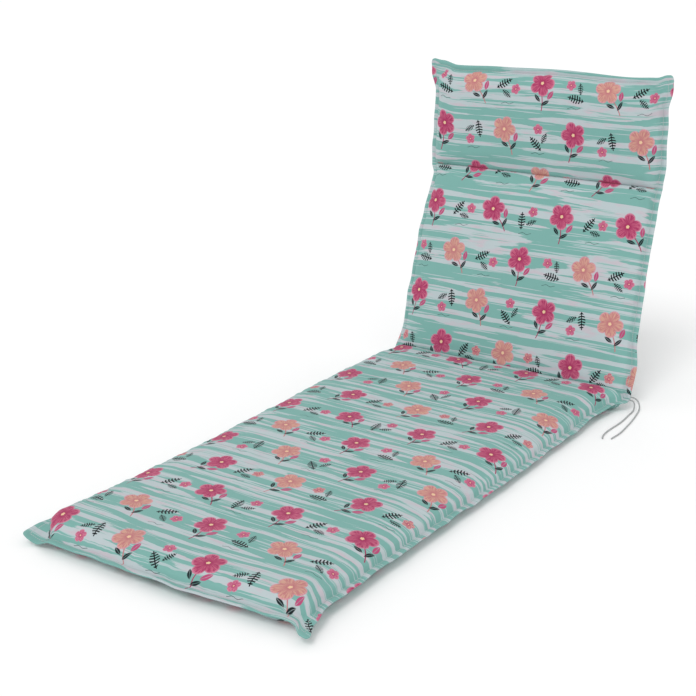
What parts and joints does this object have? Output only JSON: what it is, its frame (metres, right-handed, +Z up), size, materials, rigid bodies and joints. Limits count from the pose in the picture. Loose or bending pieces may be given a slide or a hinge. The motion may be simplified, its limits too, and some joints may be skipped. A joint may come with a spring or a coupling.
{
  "type": "sun lounger cushion",
  "caption": "Long padded sun lounger cushion in printed cloth, folded along its stitched channels into seat, back and headrest, with thin ties.",
  "frame": {"origin": "on the floor under the middle of the pad's box", "axes": "+Y from the foot of the cushion towards its back and head, +X to the sitter's left, +Z up"},
  "size_m": [0.6759, 1.3977, 0.7118],
  "materials": {
    "printed_cloth": "matt woven polyester with a printed flower pattern on uneven aqua and pale lilac stripes",
    "tie_cord": "matt round woven cord, light grey"
  },
  "bodies": {
    "root": {"pad": "printed_cloth", "tie_inner": "tie_cord", "tie_outer": "tie_cord"}
  },
  "joints": []
}
